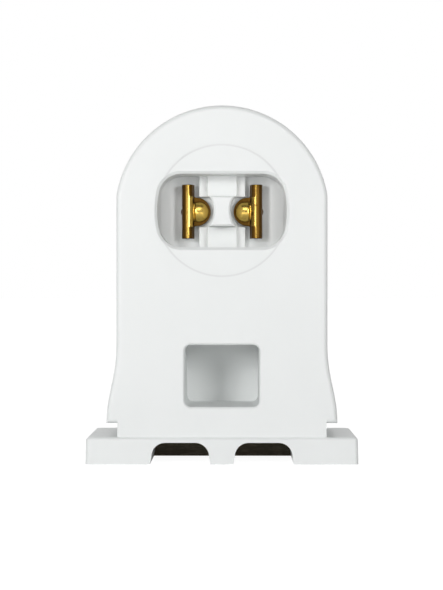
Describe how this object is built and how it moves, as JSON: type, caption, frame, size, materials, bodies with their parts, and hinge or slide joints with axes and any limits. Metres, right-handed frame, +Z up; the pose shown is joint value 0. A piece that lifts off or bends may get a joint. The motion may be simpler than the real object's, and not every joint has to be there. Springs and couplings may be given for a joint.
{
  "type": "fluorescent tube lamp holder",
  "caption": "Upright white holder for a double-contact fluorescent tube: oval lamp pocket with spring contacts, low window, grooved foot with wire channels, closed back.",
  "frame": {"origin": "middle of the foot's underside", "axes": "+Z up along the housing, -Y out of the lamp pocket towards the lamp, +X to the right seen from the front"},
  "size_m": [0.0376, 0.0234, 0.0494],
  "materials": {
    "white_moulding": "satin moulded",
    "dark_fibre": "matte pressed fibre",
    "contact_brass": "bright rolled strip",
    "spring_steel": "rolled strip",
    "plated_steel": "zinc plated"
  },
  "bodies": {
    "holder": {"housing": "white_moulding", "back_plate": "dark_fibre", "upper_plate_screw": "plated_steel", "lower_plate_screw": "plated_steel", "left_terminal_strip": "contact_brass", "left_front_wire_clamp": "spring_steel", "left_rear_wire_clamp": "spring_steel", "right_terminal_strip": "contact_brass", "right_front_wire_clamp": "spring_steel", "right_rear_wire_clamp": "spring_steel"},
    "left_contact": {"left_contact_spring": "contact_brass"},
    "right_contact": {"right_contact_spring": "contact_brass"}
  },
  "joints": [
    {"name": "left_contact_flex", "type": "hinge", "parent": "holder", "child": "left_contact", "pos_m": [-0.00517, 0.00265, 0.03493], "axis": [0, 0, 1], "range_deg": [0, 2], "stiffness_Nm_per_rad": 0.4},
    {"name": "right_contact_flex", "type": "hinge", "parent": "holder", "child": "right_contact", "pos_m": [0.00517, 0.00265, 0.03493], "axis": [0, 0, -1], "range_deg": [0, 2], "stiffness_Nm_per_rad": 0.4}
  ]
}
